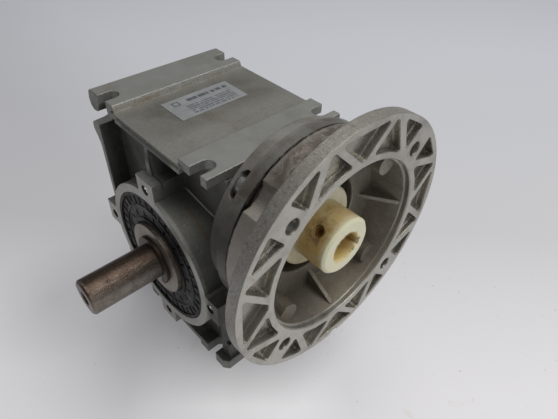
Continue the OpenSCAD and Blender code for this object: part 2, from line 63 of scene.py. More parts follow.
# ------------------------------------------------------------------ material helpers
class Mat:
    """A small builder for node materials in object space, in metres."""

    def __init__(self, name):
        self.m = bpy.data.materials.new(name)
        self.m.use_nodes = True
        self.t = self.m.node_tree
        self.t.nodes.clear()
        self.out = self.t.nodes.new("ShaderNodeOutputMaterial")
        self.b = self.t.nodes.new("ShaderNodeBsdfPrincipled")
        self.t.links.new(self.b.outputs[0], self.out.inputs[0])
        tc = self.t.nodes.new("ShaderNodeTexCoord")
        self.obj = tc.outputs["Object"]
        geo = self.t.nodes.new("ShaderNodeNewGeometry")
        self.point = geo.outputs["Pointiness"]
        self.normal = geo.outputs["Normal"]
        self.pos = tc.outputs["Object"]

    def link(self, a, b):
        self.t.links.new(a, b)

    def put(self, sock, v):
        if hasattr(v, "is_linked") or hasattr(v, "links"):
            self.link(v, sock)
        else:
            sock.default_value = v

    def noise(self, scale, detail=4.0, rough=0.55, vec=None, dist=0.0, kind="FBM"):
        n = self.t.nodes.new("ShaderNodeTexNoise")
        n.inputs["Scale"].default_value = scale
        n.inputs["Detail"].default_value = detail
        n.inputs["Roughness"].default_value = rough
        n.inputs["Distortion"].default_value = dist
        self.link(vec or self.obj, n.inputs["Vector"])
        return n.outputs["Fac"]

    def voronoi(self, scale, feature="F1", vec=None, out="Distance"):
        n = self.t.nodes.new("ShaderNodeTexVoronoi")
        n.feature = feature
        n.inputs["Scale"].default_value = scale
        self.link(vec or self.obj, n.inputs["Vector"])
        return n.outputs[out]

    def ramp(self, fac, stops, mode="LINEAR"):
        n = self.t.nodes.new("ShaderNodeValToRGB")
        n.color_ramp.interpolation = mode
        els = n.color_ramp.elements
        while len(els) > 1:
            els.remove(els[0])
        first = True
        for p, c in stops:
            if not isinstance(c, (tuple, list)):
                c = (c, c, c)
            c = tuple(c) + (1.0,)
            if first:
                els[0].position = p
                els[0].color = c
                first = False
            else:
                e = els.new(p)
                e.color = c
        self.link(fac, n.inputs[0])
        return n.outputs[0]

    def math(self, op, a, b=0.0, c=None, clamp=False):
        n = self.t.nodes.new("ShaderNodeMath")
        n.operation = op
        n.use_clamp = clamp
        self.put(n.inputs[0], a)
        self.put(n.inputs[1], b)
        if c is not None:
            self.put(n.inputs[2], c)
        return n.outputs[0]

    def mapr(self, v, a, b, c=0.0, d=1.0):
        n = self.t.nodes.new("ShaderNodeMapRange")
        n.clamp = True
        self.link(v, n.inputs[0])
        for i, x in zip((1, 2, 3, 4), (a, b, c, d)):
            n.inputs[i].default_value = x
        return n.outputs[0]

    def mix(self, fac, a, b, mode="MIX"):
        n = self.t.nodes.new("ShaderNodeMix")
        n.data_type = "RGBA"
        n.blend_type = mode
        self.put(n.inputs[0], fac)
        for sock, v in ((n.inputs[6], a), (n.inputs[7], b)):
            if isinstance(v, tuple):
                sock.default_value = v + (1.0,) if len(v) == 3 else v
            else:
                self.link(v, sock)
        return n.outputs[2]

    def sep(self, v=None):
        n = self.t.nodes.new("ShaderNodeSeparateXYZ")
        self.link(v or self.obj, n.inputs[0])
        return n.outputs

    def mapping(self, scale=(1, 1, 1), rot=(0, 0, 0), loc=(0, 0, 0), vec=None):
        n = self.t.nodes.new("ShaderNodeMapping")
        n.inputs["Scale"].default_value = scale
        n.inputs["Rotation"].default_value = rot
        n.inputs["Location"].default_value = loc
        self.link(vec or self.obj, n.inputs["Vector"])
        return n.outputs[0]

    def bump(self, height, strength=0.3, dist=0.0005, normal=None):
        n = self.t.nodes.new("ShaderNodeBump")
        n.inputs["Strength"].default_value = strength
        n.inputs["Distance"].default_value = dist
        self.link(height, n.inputs["Height"])
        if normal is not None:
            self.link(normal, n.inputs["Normal"])
        return n.outputs[0]

    def final(self, color=None, rough=None, metal=0.0, normal=None, spec=None, coat=None, sss=None):
        if color is not None:
            self.put(self.b.inputs["Base Color"], color if not isinstance(color, tuple) else color + (1.0,))
        if rough is not None:
            self.put(self.b.inputs["Roughness"], rough)
        self.put(self.b.inputs["Metallic"], metal)
        if normal is not None:
            self.link(normal, self.b.inputs["Normal"])
        if spec is not None:
            self.b.inputs["Specular IOR Level"].default_value = spec
        return self.m


def srgb(r, g, b):
    f = lambda v: (v / 255 / 12.92) if v / 255 <= 0.04045 else ((v / 255 + 0.055) / 1.055) ** 2.4
    return (f(r), f(g), f(b))


# radius from an axis, for materials whose look follows the lathe
def radius_from(M, axis, a, b):
    """Distance from a line along axis ('x' or 'y') through (a, b) in the other two coordinates."""
    s = M.sep()
    if axis == "y":
        p, q = s[0], s[2]
    else:
        p, q = s[1], s[2]
    dp = M.math("SUBTRACT", p, a)
    dq = M.math("SUBTRACT", q, b)
    return M.math("SQRT", M.math("ADD", M.math("MULTIPLY", dp, dp), M.math("MULTIPLY", dq, dq)))


# ------------------------------------------------------------------ mask helpers
def above(M, v, edge, soft=0.00008):
    """1 where v is greater than edge."""
    return M.mapr(v, edge - soft, edge + soft)


def inside(M, v, lo, hi, soft=0.00008):
    return M.math("MULTIPLY", M.mapr(v, lo - soft, lo + soft), M.mapr(v, hi - soft, hi + soft, 1.0, 0.0))


def combine(M, x, y, z):
    n = M.t.nodes.new("ShaderNodeCombineXYZ")
    for i, v in enumerate((x, y, z)):
        M.put(n.inputs[i], v)
    return n.outputs[0]


def mul(M, *vs):
    r = vs[0]
    for v in vs[1:]:
        r = M.math("MULTIPLY", r, v)
    return r


def rounded(M, radius, samples=4):
    """Shading normal with softened edges."""
    n = M.t.nodes.new("ShaderNodeBevel")
    n.samples = samples
    M.put(n.inputs["Radius"], radius)
    return n.outputs[0]


def facing(M, axis):
    """How much the flat face looks along an axis, 0 to 1."""
    s = M.sep(M.normal)
    k = {"x": 0, "y": 1, "z": 2}[axis[-1]]
    v = s[k]
    return M.mapr(M.math("MULTIPLY", v, -1.0) if axis[0] == "-" else v, 0.3, 0.9)


# ------------------------------------------------------------------ cast aluminium
def cast_layers(M, base, dark, seed, grain=1.0):
    v = M.mapping(loc=(seed, seed * 0.7, seed * 1.3))
    big = M.noise(16, 4, 0.62, v, 0.3)
    mid = M.noise(85, 6, 0.66, v)
    col = M.mix(M.ramp(big, [(0.36, 0.0), (0.66, 1.0)]), base, dark)
    col = M.mix(mul(M, M.ramp(mid, [(0.42, 0.0), (0.72, 1.0)]), M.math("ADD", 0.30, 0.0)), col, tuple(c * 0.66 for c in base))
    lite = M.ramp(M.noise(520, 3, 0.7, v), [(0.56, 0.0), (0.70, 1.0)])
    col = M.mix(mul(M, lite, M.math("ADD", 0.42 * grain, 0.0)), col, tuple(min(1.0, c * 1.7) for c in base))
    dots = M.ramp(M.noise(640, 2, 0.6, v), [(0.34, 1.0), (0.41, 0.0)])
    col = M.mix(mul(M, dots, M.math("ADD", 0.42 * grain, 0.0)), col, tuple(c * 0.35 for c in base))
    pits = M.ramp(M.voronoi(165, "F1", v), [(0.02, 1.0), (0.055, 0.0)])
    col = M.mix(mul(M, pits, M.math("ADD", 0.55, 0.0)), col, srgb(58, 52, 46))
    h = M.math("ADD", M.math("MULTIPLY", M.noise(1100, 3, 0.75, v), 0.55), M.math("MULTIPLY", M.noise(300, 5, 0.72, v), 1.0))
    h = M.math("SUBTRACT", h, M.math("MULTIPLY", pits, 0.5))
    return v, col, mid, h


def scratches(M, axis, freq, seed=0.0):
    """Fine parallel tool marks across one direction."""
    sc = {"x": (freq, 18, 18), "y": (18, freq, 18), "z": (18, 18, freq)}[axis]
    v = M.mapping(scale=sc, loc=(seed, seed, seed))
    return M.noise(1.0, 3, 0.7, v)


# housing
M = Mat("cast_housing")
P = M.sep()
X, Y, Z = P[0], P[1], P[2]
v, col, mid, h = cast_layers(M, srgb(143, 143, 138), srgb(126, 126, 119), 0.0)
# the top plate is duller, with a darker cloud beside the label
plate = mul(M, inside(M, X, -0.0440, 0.0284), inside(M, Z, 0.0890, 0.0903))
cloud = M.ramp(M.noise(24, 5, 0.6, v, 0.8), [(0.40, 0.0), (0.62, 1.0)])
col = M.mix(mul(M, plate, M.math("ADD", 0.45, 0.0)), col, srgb(126, 124, 117))
near_label = mul(M, inside(M, X, -0.040, 0.004, 0.006), inside(M, Y, 0.012, 0.108, 0.014), plate, M.math("ADD", M.math("MULTIPLY", cloud, 0.55), 0.40))
col = M.mix(near_label, col, srgb(100, 99, 92))
# machined planes: both output faces with their ears, rail tops and feet
rad = radius_from(M, "y", 0.0, 0.0)
hole_shade = M.math("MAXIMUM", M.math("MAXIMUM", M.mapr(radius_from(M, "y", 0.0, 0.059), 0.0037, 0.0036), M.mapr(radius_from(M, "y", 0.059, 0.0), 0.0037, 0.0036)), M.math("MAXIMUM", M.mapr(radius_from(M, "y", 0.0, -0.059), 0.0037, 0.0036), M.mapr(radius_from(M, "y", -0.059, 0.0), 0.0037, 0.0036)))
mach = M.math("MAXIMUM", M.mapr(Y, 0.00008, 0.00016, 1.0, 0.0), M.mapr(Y, 0.11984, 0.11992))
mach = M.math("MAXIMUM", mach, M.mapr(Z, -0.09492, -0.09484, 1.0, 0.0))
marks = M.noise(1.0, 4, 0.7, combine(M, M.math("MULTIPLY", rad, 2600.0), 0.0, 0.0))
mcol = M.mix(M.ramp(marks, [(0.3, 0.0), (0.7, 1.0)]), srgb(176, 174, 168), srgb(150, 148, 141))
mcol = M.mix(mul(M, M.ramp(M.noise(55, 6, 0.7, v, 0.5), [(0.45, 0.0), (0.68, 1.0)]), M.math("ADD", 0.65, 0.0)), mcol, srgb(112, 108, 100))
col = M.mix(mach, col, mcol)
top = M.mapr(Z, 0.09375, 0.09390)
tmark = scratches(M, "x", 2600, 2.0)
tcol = M.mix(M.ramp(tmark, [(0.25, 0.0), (0.8, 1.0)]), srgb(152, 152, 148), srgb(145, 145, 140))
tcol = M.mix(mul(M, M.ramp(M.noise(22, 6, 0.62, v, 0.3), [(0.46, 0.0), (0.7, 1.0)]), M.math("ADD", 0.45, 0.0)), tcol, srgb(118, 117, 111))
# pale yellow-brown smear on the near end of the left rail
smear = mul(M, inside(M, X, -0.0700, -0.0560, 0.003), inside(M, Y, 0.0140, 0.0230, 0.003), M.ramp(M.noise(120, 5, 0.7, v), [(0.40, 0.0), (0.60, 1.0)]))
tcol = M.mix(mul(M, smear, M.math("ADD", 0.6, 0.0)), tcol, srgb(140, 122, 88))
col = M.mix(top, col, tcol)
# brown streak down the drum, painted shade in the side pockets, on the drum, under the plate and on the near side of
# the neck, and dirt round the neck
on_drum = mul(M, inside(M, rad, 0.0546, 0.0561, 0.0002), inside(M, Y, 0.0025, 0.1175, 0.0006))
streak = mul(M, on_drum, inside(M, X, 0.0205, 0.0405, 0.002), inside(M, Y, 0.0144, 0.0155, 0.0005), M.mapr(Z, 0.028, 0.034), M.ramp(M.noise(210, 4, 0.7, v), [(0.30, 0.25), (0.50, 1.0)]))
# painted shade in the side pockets, varied by the mottle noise
side_pocket_shade = mul(M, inside(M, Y, 0.010, 0.110, 0.006), inside(M, Z, -0.086, 0.0852, 0.002), inside(M, X, -0.073, 0.056, 0.001))
dirt_and_shade_mottle = M.ramp(M.noise(46, 7, 0.72, v, 0.6), [(0.42, 0.0), (0.66, 1.0)])
not_drum = M.math("SUBTRACT", 1.0, on_drum)
col = M.mix(mul(M, side_pocket_shade, not_drum, M.math("ADD", M.math("MULTIPLY", dirt_and_shade_mottle, 0.25), 0.60)), col, srgb(52, 51, 47))
# painted shade over the drum, varied by the mottle noise
col = M.mix(mul(M, on_drum, M.math("ADD", M.math("MULTIPLY", dirt_and_shade_mottle, 0.14), 0.42)), col, srgb(60, 59, 54))
# painted shade in a narrow band under the plate
shade_under_plate = mul(M, inside(M, Y, 0.0064, 0.0076, 0.0003), inside(M, X, -0.030, 0.024, 0.002), M.mapr(Z, 0.060, 0.064))
col = M.mix(mul(M, shade_under_plate, M.math("ADD", 0.6, 0.0)), col, srgb(48, 47, 43))
col = M.mix(mul(M, streak, M.math("ADD", 0.8, 0.0)), col, srgb(118, 98, 56))
neck = M.mapr(X, 0.0535, 0.058)
col = M.mix(mul(M, neck, M.math("ADD", M.math("MULTIPLY", dirt_and_shade_mottle, 0.45), 0.12)), col, srgb(104, 88, 70))
rc = radius_from(M, "x", 0.060, 0.054)
collar = mul(M, M.mapr(X, 0.0700, 0.0740), M.mapr(rc, 0.0572, 0.0580), M.mapr(Z, 0.060, 0.100))
col = M.mix(mul(M, collar, M.math("ADD", M.math("MULTIPLY", dirt_and_shade_mottle, 0.36), 0.40)), col, srgb(78, 73, 64))
# painted shade on the near, lower side of the neck
near_side_shade = mul(M, neck, M.mapr(Y, 0.034, 0.004), M.mapr(Z, 0.096, 0.072))
col = M.mix(mul(M, near_side_shade, M.math("ADD", 0.88, 0.0)), col, srgb(46, 45, 41))
# painted shade as a dark broken line along the joint gap
joint_gap_shade = M.ramp(M.noise(150, 5, 0.7, v, 0.4), [(0.36, 0.35), (0.56, 1.0)])
col = M.mix(mul(M, M.mapr(X, 0.0786, 0.0790), joint_gap_shade), col, srgb(26, 24, 21))
stain = M.ramp(M.noise(30, 7, 0.7, M.mapping(loc=(4.2, 1.1, 0.4)), 0.9), [(0.56, 0.0), (0.70, 1.0)])
col = M.mix(mul(M, stain, M.math("ADD", 0.22, 0.0)), col, srgb(104, 88, 62))
# greasy dark line where the plate meets the left rail's step
step = mul(M, inside(M, X, -0.0442, -0.0405, 0.0004), inside(M, Z, 0.0885, 0.0925, 0.0003), dirt_and_shade_mottle)
col = M.mix(mul(M, step, M.math("ADD", 0.6, 0.0)), col, srgb(108, 92, 66))
# painted highlight along the fillet where the drum meets the worm case
rc = radius_from(M, "x", 0.060, 0.062)
fillet_highlight = mul(M, inside(M, rad, 0.0546, 0.0561, 0.0003), inside(M, rc, 0.0371, 0.0386, 0.0003), M.mapr(X, 0.008, 0.012), M.mapr(Z, 0.028, 0.034))
col = M.mix(mul(M, fillet_highlight, M.math("ADD", 0.9, 0.0)), col, srgb(216, 214, 206))
# painted shade inside the ear holes
col = M.mix(mul(M, hole_shade, M.math("ADD", 0.85, 0.0)), col, srgb(34, 33, 30))
flat = M.math("MAXIMUM", mach, top)
rough = M.math("SUBTRACT", M.mapr(mid, 0.3, 0.7, 0.44, 0.60), mul(M, flat, M.math("ADD", 0.14, 0.0)))
hh = mul(M, h, M.math("SUBTRACT", 1.0, mul(M, flat, M.math("ADD", 0.72, 0.0))))
nrm = M.bump(hh, 0.42, 0.00032, rounded(M, 0.0008))
mats = {"cast": M.final(col, rough, 0.55, nrm, spec=0.4)}

# motor adapter
M = Mat("cast_adapter")
P = M.sep()
X, Y, Z = P[0], P[1], P[2]
v, col, mid, h = cast_layers(M, srgb(146, 142, 134), srgb(126, 120, 109), 3.1, 1.2)
rx = radius_from(M, "x", 0.060, 0.054)
dirt_and_shade_mottle = M.ramp(M.noise(44, 7, 0.72, v, 0.7), [(0.40, 0.0), (0.64, 1.0)])
patch = mul(M, M.ramp(M.noise(30, 6, 0.70, M.mapping(loc=(1.7, 5.2, 2.9)), 0.8), [(0.46, 0.0), (0.62, 1.0)]), M.mapr(Z, 0.070, 0.100, 0.25, 1.0))
side = M.mapr(X, 0.1034, 0.1030, 0.0, 1.0)
outer = mul(M, side, above(M, rx, 0.0565, 0.0003))
col = M.mix(mul(M, outer, patch, M.math("ADD", 0.62, 0.0)), col, srgb(108, 92, 78))
col = M.mix(mul(M, outer, M.math("ADD", M.math("MULTIPLY", dirt_and_shade_mottle, 0.14), 0.0)), col, srgb(92, 84, 74))
col = M.mix(mul(M, outer, M.math("ADD", 0.30, 0.0)), col, srgb(168, 165, 157))
# rust-brown patches on the crown, and painted shade as a black line along the joint gap
crown = mul(M, side, M.mapr(rx, 0.0575, 0.0585), M.mapr(rx, 0.0760, 0.0740), M.mapr(Z, 0.094, 0.106), inside(M, X, 0.0808, 0.0935, 0.0030))
rustp = M.ramp(M.noise(115, 7, 0.74, M.mapping(loc=(0.3, 2.2, 6.1)), 0.9), [(0.42, 0.0), (0.56, 1.0)])
col = M.mix(mul(M, crown, M.math("ADD", M.math("MULTIPLY", rustp, 0.50), 0.22)), col, srgb(64, 50, 40))
# painted shade as a dark broken line along the joint gap
joint_gap_shade = M.ramp(M.noise(150, 5, 0.7, v, 0.4), [(0.36, 0.35), (0.56, 1.0)])
col = M.mix(mul(M, M.mapr(X, 0.0812, 0.0808), M.mapr(rx, 0.0572, 0.0580), joint_gap_shade), col, srgb(26, 24, 21))
# rim edge is pitted, with coarse painted glints
rimm = mul(M, above(M, rx, 0.0797, 0.0002), M.math("ADD", 0.55, 0.0))
col = M.mix(rimm, col, srgb(134, 131, 124))
# painted glints on the rim
rim_glints = mul(M, above(M, rx, 0.0797, 0.0002), M.ramp(M.noise(1500, 2, 0.6, v), [(0.52, 0.0), (0.66, 1.0)]))
col = M.mix(mul(M, rim_glints, M.math("ADD", 0.38, 0.0)), col, srgb(196, 194, 188))
grime = mul(M, above(M, rx, 0.0797, 0.0002), M.ramp(M.noise(520, 3, 0.6, M.mapping(loc=(7.7, 0.3, 1.9))), [(0.34, 1.0), (0.45, 0.0)]))
col = M.mix(mul(M, grime, M.math("ADD", 0.34, 0.0)), col, srgb(74, 70, 62))
# bowl and pockets hold brown dirt; the pocket floors carry painted shade
bowl = mul(M, M.mapr(rx, 0.0545, 0.0548, 1.0, 0.0), M.mapr(X, 0.1071, 0.1069, 0.0, 1.0))
bowl_low = M.mapr(Z, 0.10, -0.002)
bowl_amt = M.math("ADD", M.math("MULTIPLY", dirt_and_shade_mottle, 0.34), M.math("MULTIPLY", bowl_low, 0.30))
col = M.mix(mul(M, bowl, bowl_amt), col, srgb(98, 88, 70))
pocket = mul(M, above(M, rx, 0.0556, 0.0002), inside(M, X, 0.1036, 0.1106, 0.0002), M.mapr(rx, 0.0792, 0.0795, 1.0, 0.0))
# painted shade on the pocket floors
pocket_floor_shade = mul(M, pocket, M.mapr(X, 0.1078, 0.1066))
col = M.mix(mul(M, pocket, M.math("ADD", 0.55, 0.0)), col, srgb(188, 187, 180))
col = M.mix(mul(M, pocket, M.math("ADD", M.math("MULTIPLY", dirt_and_shade_mottle, 0.42), 0.04)), col, srgb(122, 110, 88))
col = M.mix(mul(M, pocket_floor_shade, M.math("ADD", 0.22, 0.0)), col, srgb(92, 88, 78))
# machined rib tops, with a turned finish, worn patches and dark specks
face = M.mapr(X, 0.11078, 0.11092)
lip = mul(M, inside(M, X, 0.1066, 0.1073, 0.0001), inside(M, rx, 0.0541, 0.0556, 0.0002))
lip = M.math("MAXIMUM", lip, mul(M, inside(M, rx, 0.0547, 0.0553, 0.0001), above(M, X, 0.1068, 0.0001)))
turn = M.noise(1.0, 4, 0.75, combine(M, M.math("MULTIPLY", rx, 3200.0), 0.0, 0.0))
fcol = M.mix(M.ramp(turn, [(0.3, 0.0), (0.72, 1.0)]), srgb(186, 184, 176), srgb(160, 157, 149))
fcol = M.mix(mul(M, M.ramp(M.noise(36, 6, 0.7, v, 0.6), [(0.44, 0.0), (0.66, 1.0)]), M.math("ADD", 0.55, 0.0)), fcol, srgb(116, 112, 104))
fspeck = M.ramp(M.voronoi(150, "F1", M.mapping(loc=(9.1, 2.2, 3.0))), [(0.03, 1.0), (0.07, 0.0)])
fcol = M.mix(mul(M, fspeck, M.math("ADD", 0.8, 0.0)), fcol, srgb(70, 58, 44))
brown = M.ramp(M.noise(64, 6, 0.72, M.mapping(loc=(2.5, 0.2, 8.0)), 0.5), [(0.58, 0.0), (0.70, 1.0)])
fcol = M.mix(mul(M, brown, M.math("ADD", 0.5, 0.0)), fcol, srgb(120, 100, 72))
flat = M.math("MAXIMUM", face, lip)
col = M.mix(flat, col, fcol)
rough = M.math("SUBTRACT", M.mapr(mid, 0.3, 0.7, 0.40, 0.58), mul(M, M.math("MAXIMUM", flat, M.math("MULTIPLY", pocket, 1.45)), M.math("ADD", 0.17, 0.0)))
hh = mul(M, h, M.math("SUBTRACT", 1.0, mul(M, M.math("MAXIMUM", flat, M.math("MULTIPLY", pocket, 0.8)), M.math("ADD", 0.78, 0.0))))
nrm = M.bump(hh, 0.45, 0.00036, rounded(M, M.math("ADD", M.math("MULTIPLY", pocket, 0.0012), 0.0008)))
mats["adapter"] = M.final(col, rough, M.math("ADD", M.math("MULTIPLY", M.math("MAXIMUM", pocket, flat), 0.22), 0.55), nrm, spec=0.5)


def simple(name, col, rough, metal, bump_scale=600, bump=0.2, edge=0.0):
    M = Mat(name)
    a = M.noise(60, 5, 0.6)
    c = M.mix(M.ramp(a, [(0.35, 0.0), (0.7, 1.0)]), col, tuple(x * 0.75 for x in col))
    r = M.mapr(a, 0.3, 0.7, rough - 0.06, rough + 0.08)
    n = M.bump(M.noise(bump_scale, 3, 0.6), bump, 0.0003, rounded(M, edge) if edge else None)
    return M.final(c, r, metal, n)


# moulded black ring: leathery cells, dusty, smooth outer lip
M = Mat("seal_rubber")
P = M.sep()
ry = radius_from(M, "y", 0.0, 0.0)
cells = M.voronoi(430, "F1")
a = M.noise(75, 6, 0.7)
field = inside(M, ry, 0.0302, 0.0462, 0.0003)
col = M.mix(M.ramp(a, [(0.38, 0.0), (0.68, 1.0)]), srgb(13, 13, 13), srgb(7, 7, 7))
dust = M.ramp(M.noise(210, 5, 0.75), [(0.50, 0.0), (0.68, 1.0)])
col = M.mix(mul(M, dust, field, M.math("ADD", 0.35, 0.0)), col, srgb(44, 44, 43))
h = M.math("ADD", mul(M, cells, field), M.math("MULTIPLY", M.noise(520, 4, 0.7), 0.8))
mats["black"] = M.final(col, M.mapr(a, 0.36, 0.64, 0.30, 0.66), 0.0, M.bump(h, 0.6, 0.0005, rounded(M, 0.0004)), spec=0.24)

# ground end of the hollow shaft: turned, pinkish, rust creeping from the bore
M = Mat("ground_steel")
ry = radius_from(M, "y", 0.0, 0.0)
turn = M.noise(1.0, 4, 0.75, combine(M, M.math("MULTIPLY", ry, 3600.0), 0.0, 0.0))
a = M.noise(70, 6, 0.7)
col = M.mix(M.ramp(turn, [(0.3, 0.0), (0.72, 1.0)]), srgb(156, 149, 139), srgb(122, 115, 105))
col = M.mix(mul(M, M.ramp(a, [(0.44, 0.0), (0.66, 1.0)]), M.math("ADD", 0.45, 0.0)), col, srgb(104, 93, 82))
rust = mul(M, M.ramp(M.noise(150, 6, 0.74, None, 0.5), [(0.40, 0.0), (0.60, 1.0)]), M.mapr(ry, 0.0225, 0.0172))
col = M.mix(mul(M, rust, M.math("ADD", 0.85, 0.0)), col, srgb(104, 66, 46))
edge = mul(M, M.mapr(ry, 0.0252, 0.0264), M.ramp(M.noise(190, 5, 0.7), [(0.44, 0.0), (0.62, 1.0)]))
col = M.mix(mul(M, edge, M.math("ADD", 0.6, 0.0)), col, srgb(118, 86, 66))
mats["ground"] = M.final(col, M.mapr(a, 0.3, 0.7, 0.30, 0.46), 0.75, M.bump(M.math("ADD", M.math("MULTIPLY", turn, 0.6), M.noise(420, 4, 0.7)), 0.28, 0.00022, rounded(M, 0.0006)))

# dark oxidised shaft with rust bloom and lengthwise wear, a painted reflection of the floor on its lower +X side,
# painted glints, and painted shade underneath near the ring
M = Mat("oxidised_shaft")
P = M.sep()
ry = radius_from(M, "y", 0.0, 0.0)
long = M.noise(1.0, 5, 0.7, M.mapping(scale=(420, 26, 420)))
ring = M.noise(1.0, 4, 0.7, M.mapping(scale=(14, 900, 14)))
a = M.noise(95, 7, 0.74, None, 0.4)
col = M.mix(M.ramp(a, [(0.36, 0.0), (0.64, 1.0)]), srgb(84, 71, 60), srgb(46, 37, 31))
col = M.mix(mul(M, M.ramp(long, [(0.46, 0.0), (0.66, 1.0)]), M.math("ADD", 0.40, 0.0)), col, srgb(126, 110, 96))
col = M.mix(mul(M, M.ramp(M.noise(260, 6, 0.75), [(0.50, 0.0), (0.66, 1.0)]), M.math("ADD", 0.45, 0.0)), col, srgb(78, 48, 32))
# painted reflection of the bright floor on the lower +X side
floor_reflection = mul(M, M.mapr(M.math("ADD", M.math("MULTIPLY", P[0], 0.85), M.math("MULTIPLY", P[2], -0.45)), 0.0035, 0.0085), M.ramp(M.noise(190, 6, 0.74), [(0.34, 0.3), (0.60, 1.0)]))
col = M.mix(mul(M, floor_reflection, M.math("ADD", 0.75, 0.0)), col, srgb(134, 128, 122))
# painted glints
shaft_glints = M.ramp(M.noise(1500, 3, 0.7), [(0.50, 0.0), (0.64, 1.0)])
col = M.mix(mul(M, shaft_glints, M.math("ADD", 0.34, 0.0)), col, srgb(186, 174, 158))
endf = M.mapr(P[1], -0.05225, -0.05235, 0.0, 1.0)
col = M.mix(mul(M, endf, M.math("ADD", 0.45, 0.0)), col, srgb(92, 76, 64))
top_sh = M.mapr(M.math("ADD", P[2], M.math("MULTIPLY", P[0], -0.55)), 0.0045, 0.0085)
col = M.mix(mul(M, top_sh, M.math("ADD", 0.62, 0.0)), col, srgb(62, 46, 37))
# painted shade on the underside near the ring
underside_shade = M.mapr(M.math("ADD", M.math("MULTIPLY", P[2], -1.0), M.math("MULTIPLY", P[1], 0.25)), -0.0080, 0.0040)
col = M.mix(mul(M, underside_shade, M.mapr(P[1], -0.040, -0.006), M.math("ADD", 0.6, 0.0)), col, srgb(46, 40, 34))
wear = mul(M, M.mapr(P[1], -0.0505, -0.0522), M.mapr(ry, 0.0112, 0.0121), M.ramp(M.noise(130, 4, 0.6), [(0.40, 0.0), (0.58, 1.0)]))
col = M.mix(mul(M, wear, M.math("ADD", 0.6, 0.0)), col, srgb(140, 126, 112))
rg = M.math("ADD", M.mapr(a, 0.3, 0.7, 0.28, 0.50), M.math("MULTIPLY", M.ramp(long, [(0.4, 0.0), (0.7, 1.0)]), -0.06))
h = M.math("ADD", M.math("MULTIPLY", a, 1.0), M.math("ADD", M.math("MULTIPLY", ring, 0.35), M.math("MULTIPLY", M.noise(620, 4, 0.7), 0.7)))
mats["oxide"] = M.final(col, rg, 0.78, M.bump(h, 0.5, 0.0003, rounded(M, 0.0005)))

# cream polyamide, amber round the side, cream at the mouth and back flange; the back flange also carries painted
# shade, deepest at its bottom, and painted light on its top
M = Mat("nylon")
P = M.sep()
rx = radius_from(M, "x", 0.060, 0.054)
cream, amber = srgb(222, 219, 189), srgb(206, 172, 102)
band = inside(M, P[0], 0.0888, 0.1064, 0.0022)
mott = M.ramp(M.noise(52, 6, 0.66, None, 0.8), [(0.36, 0.25), (0.64, 1.0)])
low = M.mapr(M.math("ADD", M.math("MULTIPLY", M.math("SUBTRACT", P[2], 0.054), 0.8), M.math("MULTIPLY", M.math("SUBTRACT", P[1], 0.060), -0.3)), 0.010, -0.012)
col = M.mix(mul(M, band, M.math("ADD", M.math("MULTIPLY", mott, 0.48), 0.44)), cream, amber)
col = M.mix(mul(M, band, low, M.math("ADD", 0.50, 0.0)), col, srgb(156, 112, 54))
bl = M.ramp(M.noise(105, 6, 0.7, M.mapping(scale=(1, 1, 1.0), loc=(3.3, 1.2, 7.7)), 0.5), [(0.50, 0.0), (0.66, 1.0)])
col = M.mix(mul(M, band, bl, M.math("ADD", 0.60, 0.0)), col, srgb(140, 100, 48))
# brown run below the screw hole
s135 = (0.06 - 0.0184 * 0.7071, 0.054 + 0.0184 * 0.7071)
dy = M.math("SUBTRACT", P[1], s135[0])
dz = M.math("SUBTRACT", P[2], s135[1])
dx = M.math("SUBTRACT", P[0], 0.0988)
dist = M.math("SQRT", M.math("ADD", M.math("ADD", M.math("MULTIPLY", dy, dy), M.math("MULTIPLY", dz, dz)), M.math("MULTIPLY", dx, dx)))
halo = mul(M, M.mapr(dist, 0.0095, 0.0040), M.ramp(M.noise(170, 5, 0.7), [(0.36, 0.0), (0.62, 1.0)]))
col = M.mix(mul(M, halo, M.math("ADD", 0.8, 0.0)), col, srgb(108, 76, 40))
specks = M.ramp(M.voronoi(230, "F1"), [(0.03, 1.0), (0.075, 0.0)])
col = M.mix(mul(M, specks, M.math("ADD", 0.5, 0.0)), col, srgb(110, 88, 52))
bore = mul(M, M.mapr(rx, 0.0112, 0.0100), M.math("ADD", M.math("MULTIPLY", mott, 0.5), 0.35))
col = M.mix(bore, col, srgb(214, 188, 118))
chip = mul(M, inside(M, rx, 0.0092, 0.0109, 0.0003), above(M, P[0], 0.1086), M.ramp(M.noise(190, 5, 0.72, M.mapping(loc=(1.1, 6.2, 0.9))), [(0.52, 0.0), (0.58, 1.0)]))
col = M.mix(mul(M, chip, M.math("ADD", 0.8, 0.0)), col, srgb(96, 76, 44))
# painted shade over the back flange
back_flange_shade = mul(M, M.mapr(P[0], 0.0876, 0.0870), M.math("ADD", M.math("MULTIPLY", bl, 0.4), 0.08))
col = M.mix(back_flange_shade, col, srgb(160, 146, 100))
# painted shade, darker towards the bottom of the back flange
flange_bottom_shade = mul(M, M.mapr(P[0], 0.0876, 0.0870), M.mapr(M.math("ADD", P[2], M.math("MULTIPLY", P[1], 0.9)), 0.112, 0.088))
col = M.mix(mul(M, flange_bottom_shade, M.math("ADD", 0.6, 0.0)), col, srgb(150, 136, 98))
# painted light: the top of the back flange lighter cream
col = M.mix(mul(M, M.mapr(P[0], 0.0876, 0.0870), M.mapr(P[2], 0.060, 0.070), M.math("ADD", 0.6, 0.0)), col, srgb(240, 238, 214))
M.b.inputs["Subsurface Weight"].default_value = 0.30
M.b.inputs["Subsurface Radius"].default_value = (0.0035, 0.0024, 0.0012)
M.b.inputs["Subsurface Scale"].default_value = 1.0
h = M.math("ADD", M.noise(300, 4, 0.65), M.math("MULTIPLY", M.noise(1.0, 3, 0.6, M.mapping(scale=(1500, 30, 30))), 0.35))
mats["nylon"] = M.final(col, M.mapr(mott, 0.0, 1.0, 0.40, 0.50), 0.0, M.bump(h, 0.22, 0.0003, rounded(M, 0.0009)), spec=0.45)

